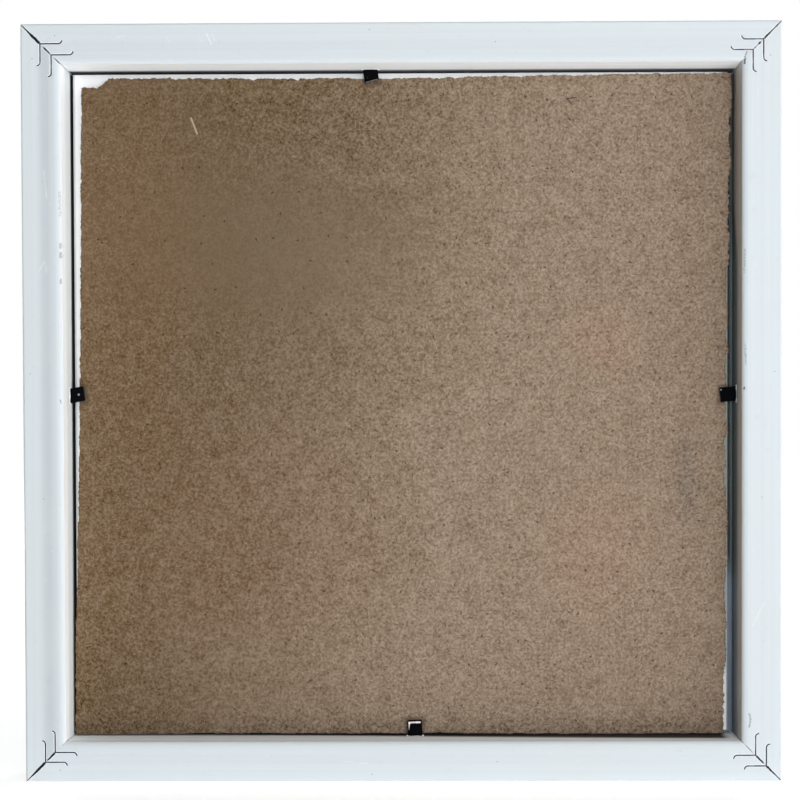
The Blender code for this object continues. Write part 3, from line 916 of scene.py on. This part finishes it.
def hardboard_finish():
    """Pressed wood fibre: brown mottle and grain, hairs lighter and darker than it, lying every way, a few
    scratches, large soft stains, and black rubbed off the points with a painted shadow round them. Painted
    light and sheen make it paler towards -X and lower down, and painted shade darkens it along its bottom
    and top edges. Its colour is a tone plus the grain's strength times GRAIN_SWING."""
    made = Finish("pressed_fibre", specular=0.10)
    x, z = made.x, made.z
    patches = made.noise(9, 3.0, 0.55)
    clouds = made.noise(45, 3.0, 0.5)
    ragged = made.noise(0.8)
    uneven = (patches - 0.5) * 0.7 + (clouds - 0.5) * 0.9

    # Painted light and sheen: the board is paler towards -X and lower down, where more light falls. The dark
    # side is +X, which the photo shows at its left
    lit_side = (x * -1.0 - z * 0.30).rise(-0.110, 0.060)
    light_and_tone = (lit_side + (clouds - 0.5) * 0.35).rise(-0.05, 1.05)
    tone = made.mix(light_and_tone, (0.152, 0.102, 0.056), (0.283, 0.211, 0.152))
    rubbed = stain(made, uneven, *RUBBED)
    for strength, tint, *ellipse in STAINS:
        tone = made.mix(stain(made, uneven, *ellipse) * strength, tone, tint)
    from_bottom, from_top = z - (board_low.z - MIDDLE_Z), (board_high.z - MIDDLE_Z) - z
    # Painted shadow of the bottom and top rails along the board's edges
    rail_shadow = from_bottom.rise_mm(9, 0.5) * 0.42 + from_top.rise_mm(6, 0.5) * 0.20
    tone = made.mix(rail_shadow, tone, (0.070, 0.050, 0.034))

    grain = made.noise(0.95, 4.0, 0.68)
    pepper = made.noise(0.42, 2.0, 0.6)
    mottle = made.noise(3.0)
    contrast = (1 - rubbed * 0.74) * (1 - x.rise(-0.005, 0.085) * (z.rise(-0.03, 0.08) * 0.18 + 0.30))
    light = (grain - 0.5) * 2.6 + (pepper - 0.5) + (mottle - 0.5) * 0.8 + (patches - 0.5) * 0.30
    light = (light * contrast).most(-0.8)
    swing = {0: light, 1: GRAIN_SWING, 2: tone}
    colour = made.node("ShaderNodeVectorMath", {"operation": "MULTIPLY_ADD"}, swing)
    dark_hairs = made.hairs(x, z, 2.2, 1.5, 0.40, 0.50, 2.2)
    fine_hairs = made.hairs(x, z, 1.1, 0.8, 0.26, 0.50, 5.9)
    pale_hairs = made.hairs(x, z, 2.7, 2.2, 0.28, 0.50, 9.4)
    long_hairs = made.hairs(x, z, 15, 4.0, 0.34, 0.30, 12.8)
    shives = made.hairs(x, z, 8, 1.2, 0.60, 0.40, 15.1)
    colour = made.layered(
        colour,
        (pale_hairs * 0.40 * contrast, (0.42, 0.345, 0.265)),
        (long_hairs * 0.50 * contrast, (0.43, 0.355, 0.270)),
        (dark_hairs * 0.58 * contrast, (0.055, 0.034, 0.020)),
        (fine_hairs * 0.30 * contrast, (0.075, 0.048, 0.029)),
        (shives * 0.85, (0.040, 0.024, 0.015)),
    )

    colour = made.mix(scratched(made, ragged), colour, (0.43, 0.365, 0.28))
    # Painted shadow round each framer's point, with black rubbed off it
    for joint in frame["joints"]:
        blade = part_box(f"tab_blade_{joint['name'].split('_')[0]}")
        colour = made.mix(near_blade(made, ragged, *blade) * 0.5, colour, (0.05, 0.038, 0.028))
    mark = made.stroke((-56.0, 230.6), (-59.4, 231.0), 0.45 * MM, (ragged - 0.5) * 0.3 * MM)
    mark = mark.most(made.stroke((-56.4, 230.4), (-58.0, 228.6), 0.42 * MM, (ragged - 0.5) * 0.3 * MM))
    colour = made.mix(mark * 0.75, colour, (0.045, 0.028, 0.020))

    relief = grain + pale_hairs * 0.5 + long_hairs * 0.6 - dark_hairs * 0.5 + mottle * 0.5 + pepper * 0.3
    gloss = 0.72 + grain * 0.2 - patches * 0.06
    return made.surface(colour, gloss, relief, 0.07 * MM)


edge, outward = straight_edge(board_corners())
roughness = torn(edge, outward)
board = board_mesh(edge, outward, roughness)
tufts = fibre_tufts(edge, outward, roughness, TUFTS)
hardboard = hardboard_finish()
for piece in (board, tufts):
    coat(piece, hardboard)
    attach(piece, "frame")
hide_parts("backing_board")


# The framer's points. Each is one strip of soft steel, lacquered black, driven into the rabbet wall with a
# hammer: a sharp shank in the plastic and a blunt free end, which bends up to let the board out. Their
# lacquer is rubbed through to steel where a screwdriver has pushed them, and those spots are painted near
# white, as highlights.
TAB_WIDTH = 5.0 * MM
TAB_THICKNESS = 0.5 * MM
SHANK_TIP = -10.0 * MM
SHANK_POINT = 2.8 * MM
EDGE_ROUND = 0.11 * MM
END_ROUND = 0.5 * MM  # more points along the last of the free end
TAB_LIFT = 0.30 * MM  # the free end springs up off the board
# Of each tab: its length past the bend, how much longer it is per metre across where the cut is askew, and
# the radius of its free end's two corners
TAB_SHAPE = {
    "left": (4.6 * MM, 0.0, 0.22 * MM),
    "top": (3.05 * MM, 0.14, 0.15 * MM),
    "right": (4.0 * MM, -0.03, 0.40 * MM),
    "bottom": (4.5 * MM, 0.0, 0.50 * MM),
}


def tab_strip(name, length, slant, corner, origin, forward, axis):
    """A strip from the tip of its shank to its free end, on a grid of (along, around).

    Its section is a rectangle whose corners are quarter circles. Half its width grows in a straight line
    from the sharp tip, and both halves shrink as a quarter circle over the last of the free end, the width
    by the radius corner.
    """
    run = np.concatenate([
        np.linspace(SHANK_TIP, SHANK_TIP + SHANK_POINT, 8),
        np.linspace(SHANK_TIP + SHANK_POINT, -2 * MM, 8)[1:],
        np.linspace(-2 * MM, length - END_ROUND, 44)[1:],
        length - END_ROUND * (1 - np.sin(np.linspace(0, math.pi / 2, 7)))[1:],
    ])
    grow = np.clip((run - SHANK_TIP) / SHANK_POINT, 0.03, 1.0)
    end = np.clip((run - length + EDGE_ROUND) / EDGE_ROUND, 0.0, 1.0)
    drawn_in = EDGE_ROUND * (1 - np.sqrt(1 - np.minimum(end, 0.98) ** 2))
    cut_off = np.clip((run - length + corner) / corner, 0.0, 0.98)
    half_width = TAB_WIDTH / 2 * grow - corner * (1 - np.sqrt(1 - cut_off ** 2))
    half_thick = np.full_like(run, TAB_THICKNESS / 2) - drawn_in
    turn = np.radians(np.add.outer([0, 90, 180, 270], [0, 30, 60, 90])).ravel()
    corners = np.stack([np.cos(turn), np.sin(turn)], axis=1)
    signs = np.repeat([[1, 1], [-1, 1], [-1, -1], [1, -1]], 4, axis=0)
    rounding = np.minimum(EDGE_ROUND, half_width * 0.9)[:, None]
    thinning = np.minimum(EDGE_ROUND, half_thick)[:, None]
    across = signs[:, 0] * (half_width[:, None] - rounding) + corners[:, 0] * rounding
    through = signs[:, 1] * (half_thick[:, None] - thinning) + corners[:, 1] * thinning
    reached = run.clip(0)[:, None] / length
    sections = (
        np.array(origin)
        + (run[:, None] + slant * across * reached)[:, :, None] * np.array(forward)
        + across[:, :, None] * np.array(axis)
        + (through + TAB_LIFT * reached ** 2)[:, :, None] * np.array([0.0, 1.0, 0.0])
    )
    strip = shell(name, sections, smooth_angle=50.0)
    from_tip = np.broadcast_to(length - run[:, None], across.shape)
    store(strip, "plan", np.stack([from_tip, across, through], axis=-1), "FLOAT_VECTOR", "vector")
    return strip


def lacquer_finish(name, tip_bar, side_bar, dot):
    """Black lacquer on steel. plan holds the distance from the free end, the place across and the place
    through the strip. The lacquer is gone in a bar near the tip, in a tapering one down one side, and at
    a dot on the tab's face, and those spots are painted near white, as highlights."""
    made = Finish(name, specular=0.02)
    plan = made.stored("plan", "Vector")
    from_tip = made.parts(plan)
    across = from_tip.other("Y")
    face = from_tip.other("Z").rise_mm(0.08, 0.18)
    ragged = made.noise(0.7, 3.0, 0.65, plan)
    fine = made.noise(0.16, 2.0, 0.6, plan)
    uneven = (ragged - 0.5) * (0.5 * MM)
    start, stop, strength = tip_bar
    soft = 0.12 * MM
    in_width = abs(across).rise(TAB_WIDTH / 2 - 0.2 * MM, TAB_WIDTH / 2 - 0.6 * MM)
    down = from_tip + uneven
    worn_highlight = down.rise(start - soft, start + soft) * down.rise(stop + soft, stop - soft) * strength * in_width
    if side_bar:
        side, width, reach = side_bar
        from_side = TAB_WIDTH / 2 - across * side - 0.36 * MM
        taper = (1 - from_tip / reach).most(0.0) * width
        at_side = (from_side + uneven * 0.6).rise(taper + soft, taper - soft) * from_side.rise(0.0, soft)
        past_tip = from_tip.rise(start - soft, start + soft) * (reach - from_tip).rise_mm(0, 0.4)
        worn_highlight = worn_highlight.most(at_side * past_tip)
    from_dot = ((from_tip - dot[0]) ** 2 + (across - dot[1]) ** 2) ** 0.5 + uneven * 0.3
    worn_highlight = (worn_highlight * face).most(from_dot.rise(dot[2] * 1.25, dot[2] * 0.6) * face * dot[3])
    colour = made.layered(
        (0.0012, 0.0013, 0.0018),
        (fine.rise(0.3, 0.8), (0.0034, 0.0036, 0.0048)),
        (ragged.rise(0.62, 0.78) * 0.10, (0.03, 0.03, 0.034)),
        # worn spots, painted near white as highlights
        (worn_highlight, (0.86, 0.80, 0.81)),
    )
    relief = fine * 0.5 + ragged * 0.6 - worn_highlight * 0.6
    gloss = 0.56 + ragged * 0.18 + fine * 0.08
    return made.surface(colour, gloss, relief, 0.02 * MM, Metallic=worn_highlight * 0.5)


def slot_lip(name, side, origin, ragged_height):
    """The plastic that a driven point pushes out of the rabbet wall: a ragged ring round its slot.

    Round the strip, at the turn t, the ring's middle is on the superellipse |u / a| ** 4 + |v / b| ** 4
    = 1, and its section is a low hump, higher at the slot's two ends.
    """
    turn = np.linspace(0, math.tau, 72, endpoint=False)
    cosine, sine = np.cos(turn), np.sin(turn)
    hump = np.array([-0.30, -0.24, -0.10, 0.08, 0.30, 0.36])  # out from the ring's middle, in millimetres
    lift = np.array([-0.55, 0.10, 0.85, 0.70, 0.12, -0.55])
    bumps = rng.normal(0, 1, (2, 6))
    orders = np.arange(2, 8)[:, None]
    rough = (bumps[0] @ np.cos(orders * turn) + bumps[1] @ np.sin(orders * turn)) / 3.5
    height = 0.08 + ragged_height * (np.abs(cosine) ** 6 + 0.7 * np.clip(rough, -0.1, 1.5))
    radius_u = TAB_WIDTH / 2 / MM + 0.28 + hump[:, None]
    radius_v = TAB_THICKNESS / 2 / MM + 0.28 + hump[:, None]
    u = np.sign(cosine) * np.abs(cosine) ** 0.5 * radius_u
    v = np.sign(sine) * np.abs(sine) ** 0.5 * radius_v
    rise = np.where(lift[:, None] > 0, lift[:, None] * (height + 0.02), lift[:, None])
    facing = np.array(WALL_FACING[side])
    level = np.array([origin.x, origin.z - MIDDLE_Z]) * (1 - np.abs(facing)) + facing * (HALF - LAND)
    centre = np.array([level[0], origin.y, level[1] + MIDDLE_Z])
    inward = np.array([-facing[0], 0.0, -facing[1]])
    aside = np.array([abs(facing[1]), 0.0, abs(facing[0])])
    offsets = u[..., None] * aside + v[..., None] * np.array([0, 1.0, 0]) + rise[..., None] * inward
    return shell(name, centre + offsets * MM, ring=True, smooth_angle=60.0)


# Where each tab's lacquer is worn off and painted near white, as a highlight: a bar near its tip, from and
# to, with its strength. Then a bar down one side, if any, with its side, width and reach. Then a dot: from
# the tip, across, radius and strength
WORN_HIGHLIGHTS = {
    "left": ((0.0, 0.1 * MM, 0.06), None, (0.45 * MM, 1.65 * MM, 0.24 * MM, 0.45)),
    "top": ((0.0, 0.22 * MM, 0.26), None, (1.5 * MM, 1.3 * MM, 0.12 * MM, 0.12)),
    "right": ((0.0, 0.1 * MM, 0.05), None, (2.0 * MM, 0.1 * MM, 0.38 * MM, 0.38)),
    "bottom": (
        (0.50 * MM, 1.10 * MM, 0.90), (-1, 0.85 * MM, 3.6 * MM), (1.6 * MM, -0.3 * MM, 0.10 * MM, 0.1),
    ),
}
LIP_HEIGHT = {"left": 0.20, "top": 0.08, "right": 0.20, "bottom": 0.20}  # in millimetres
WALL_FACING = {"left": (-1, 0), "right": (1, 0), "top": (0, 1), "bottom": (0, -1)}  # (x, z) from the middle
for joint in frame["joints"]:
    side = joint["name"].split("_")[0]
    origin, axis = Vector(joint["pos_m"]), Vector(joint["axis"])
    forward = Vector((0, 1, 0)).cross(axis)
    strip = tab_strip(f"framers_point_{side}", *TAB_SHAPE[side], origin, forward, axis)
    coat(strip, lacquer_finish(f"black_lacquer_{side}", *WORN_HIGHLIGHTS[side]))
    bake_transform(strip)
    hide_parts(f"tab_shank_{side}", f"tab_blade_{side}")
    lip = slot_lip(f"slot_lip_{side}", side, origin, LIP_HEIGHT[side])
    coat(lip, pressed_plastic)
    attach(lip, "frame")


# The studio. A white floor under a white surround, and large soft lamps, most of them towards the photo's
# right. One shines up through the floor, which lets lamp light through and still shows the shadow.
FLOOR_SIZE = 8.0
FLOOR_GAP = 0.2 * MM
MATT_PAINT = {"Base Color": (0.80, 0.80, 0.80), "Roughness": 0.9, "Specular IOR Level": 0.0}
WHITE_NEAR = 0.60  # added to the lit paint near the frame, so that only a shadow there is darker than white
NEAR_REACH = 0.45
FAR_REACH = 1.3


def seen_directly(rays):
    """1 for rays from the camera and those that come off or through a shiny piece."""
    return rays.most(rays.other("Is Glossy Ray")).most(rays.other("Is Transmission Ray"))


def floor_finish():
    """Matt pale paint, clear to lamp light. To the camera and in reflections it also glows: as white as the
    surround far away, and less near the frame, where the lamps light the paint."""
    material = bpy.data.materials.new("studio_floor")
    material.use_nodes = True
    made = Nodes(material.node_tree)
    shader = made.tree.nodes["Principled BSDF"]
    for socket, value in MATT_PAINT.items():
        made.feed(shader.inputs[socket], value)
    paint = Socket(made, shader.outputs[0])
    rays = made.node("ShaderNodeLightPath", output="Is Camera Ray")
    place = made.node("ShaderNodeTexCoord", output="Object")
    distance = made.node("ShaderNodeVectorMath", {"operation": "LENGTH"}, {0: place}, "Value")
    ends = {"From Min": NEAR_REACH, "From Max": FAR_REACH, "To Min": WHITE_NEAR, "To Max": 1.0}
    glow = made.node("ShaderNodeMapRange", None, {"Value": distance, **ends})
    light = {"Color": (1.0, 1.0, 1.0), "Strength": seen_directly(rays) * glow}
    white = made.node("ShaderNodeEmission", None, light)
    seen = made.node("ShaderNodeAddShader", None, {0: paint, 1: white})
    clear = made.node("ShaderNodeBsdfTransparent")
    either = made.node("ShaderNodeMixShader", None, {0: rays.other("Is Shadow Ray"), 1: seen, 2: clear})
    made.feed(made.tree.nodes["Material Output"].inputs["Surface"], either)
    return material


corner_signs = ((-1, -1), (1, -1), (1, 1), (-1, 1))
floor_corners = [(x * FLOOR_SIZE / 2, y * FLOOR_SIZE / 2, LOW.z - FLOOR_GAP) for x, y in corner_signs]
floor_mesh = bpy.data.meshes.new("floor")
floor_mesh.from_pydata(floor_corners, [], [(0, 1, 2, 3)])
floor_mesh.materials.append(floor_finish())
floor = placed("floor", floor_mesh)


def surround(strength):
    """A world that is white to the camera and in reflections, and gives a little light of its own."""
    world = bpy.data.worlds.new("studio")
    bpy.context.scene.world = world
    world.use_nodes = True
    world.node_tree.nodes.clear()
    made = Nodes(world.node_tree)
    rays = made.node("ShaderNodeLightPath", output="Is Camera Ray")
    dim = made.node("ShaderNodeBackground", None, {"Color": (0.93, 0.96, 1.0), "Strength": strength})
    white = made.node("ShaderNodeBackground", None, {"Color": (1.0, 1.0, 1.0), "Strength": 1.0})
    seen = made.node("ShaderNodeMixShader", None, {0: seen_directly(rays), 1: dim, 2: white})
    made.node("ShaderNodeOutputWorld", None, {"Surface": seen}, None)


def softbox(name, place, size, watts):
    """A square lamp aimed at the middle of the frame."""
    light = bpy.data.lights.new(name, "AREA")
    light.shape = "SQUARE"
    light.size = size
    light.energy = watts
    lamp = placed(name, light)
    lamp.location = place
    aim = Vector((0, 0, MIDDLE_Z)) - lamp.location
    lamp.rotation_euler = aim.to_track_quat("-Z", "Y").to_euler()


surround(strength=0.01)
# Of each lamp: its name, its place and size in metres, and its power in watts
LAMPS = (
    ("behind", (-0.15, 1.25, 0.15), 0.6, 7.4),
    ("below", (-0.20, 0.82, -2.13), 1.0, 27.0),
    ("above", (-0.20, 0.82, 2.39), 1.0, 13.0),
    ("beside", (-2.32, 0.62, 0.127), 1.0, 32.5),
    ("aslant", (-1.70, 1.70, 0.127), 1.0, 11.0),
    ("front_left", (-1.2, -1.5, 0.9), 0.9, 15.0),
    ("front_right", (1.4, -1.1, 0.7), 0.9, 11.0),
)
for lamp in LAMPS:
    softbox(*lamp)


# The camera. It looks at the back from 400 mm away, opposite a point right of and below the middle, and
# leans nearly 1 degree down.
VIEW_DISTANCE = 400 * MM
CAMERA_X = -15.8 * MM
CAMERA_Z = 117.2 * MM
TURN = 0.376  # in degrees, like the next two
LEAN = 0.842
ROLL = -0.174
PHOTO_SIZE = 800  # in pixels, like the next two
FOCAL_PIXELS = 1196.4
SHIFT_PIXELS = (-41.26, 50.25)
lens = bpy.data.cameras.new("camera")
lens.sensor_width = 36.0
lens.lens = lens.sensor_width * FOCAL_PIXELS / PHOTO_SIZE
lens.shift_x = SHIFT_PIXELS[0] / PHOTO_SIZE
lens.shift_y = SHIFT_PIXELS[1] / PHOTO_SIZE
lens.clip_start = 0.01
camera = placed("camera", lens)
camera.matrix_world = (
    Matrix.Translation((CAMERA_X, BACK + VIEW_DISTANCE, CAMERA_Z))
    @ Matrix.Rotation(math.radians(180 + TURN), 4, "Z")
    @ Matrix.Rotation(math.radians(90 - LEAN), 4, "X")
    @ Matrix.Rotation(math.radians(ROLL), 4, "Z")
)
bpy.context.scene.camera = camera
bpy.context.scene.view_settings.view_transform = "Standard"
